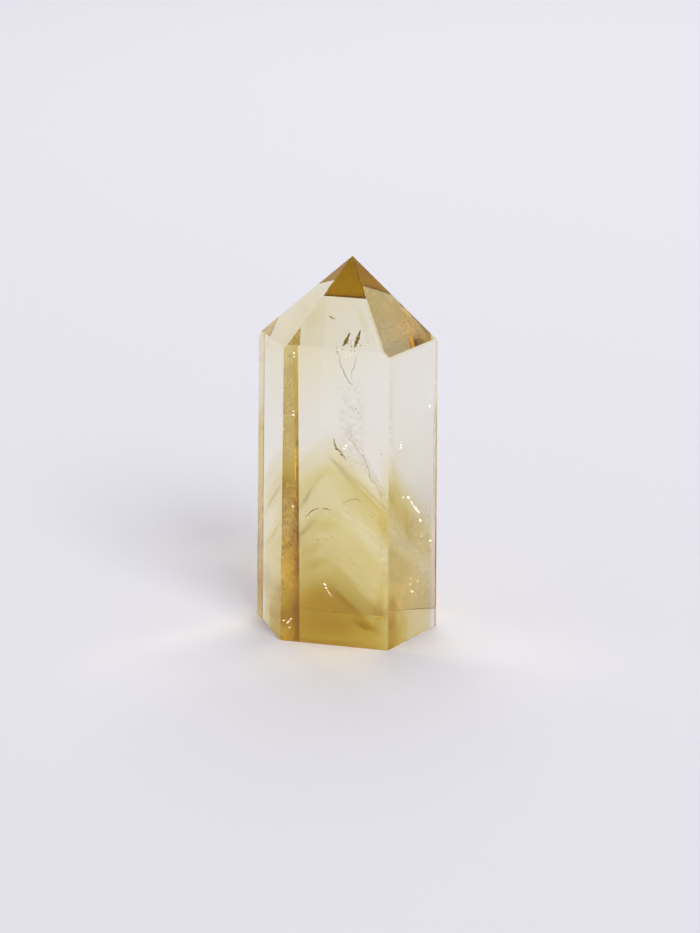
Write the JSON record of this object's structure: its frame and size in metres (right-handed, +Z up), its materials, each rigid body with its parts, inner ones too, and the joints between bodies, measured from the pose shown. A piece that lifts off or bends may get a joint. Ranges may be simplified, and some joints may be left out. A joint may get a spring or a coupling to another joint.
{
  "type": "citrine crystal point",
  "caption": "Clear yellow quartz prism, cut flat and polished, that narrows to a faceted point and stands upright on a flat sawn base.",
  "frame": {"origin": "in the sawn base, at the middle of the bounding box's underside", "axes": "+Z up from the base to the point; -Y the wide front face, turned about 13 degrees towards -X; +X to the right of the front"},
  "size_m": [0.0354, 0.0286, 0.075],
  "materials": {
    "polished_citrine": "clear yellow quartz, polished flat; nearly colourless above, deeper gold towards the base, with fine veils and cracks inside"
  },
  "bodies": {
    "root": {"crystal_point": "polished_citrine"}
  },
  "joints": []
}
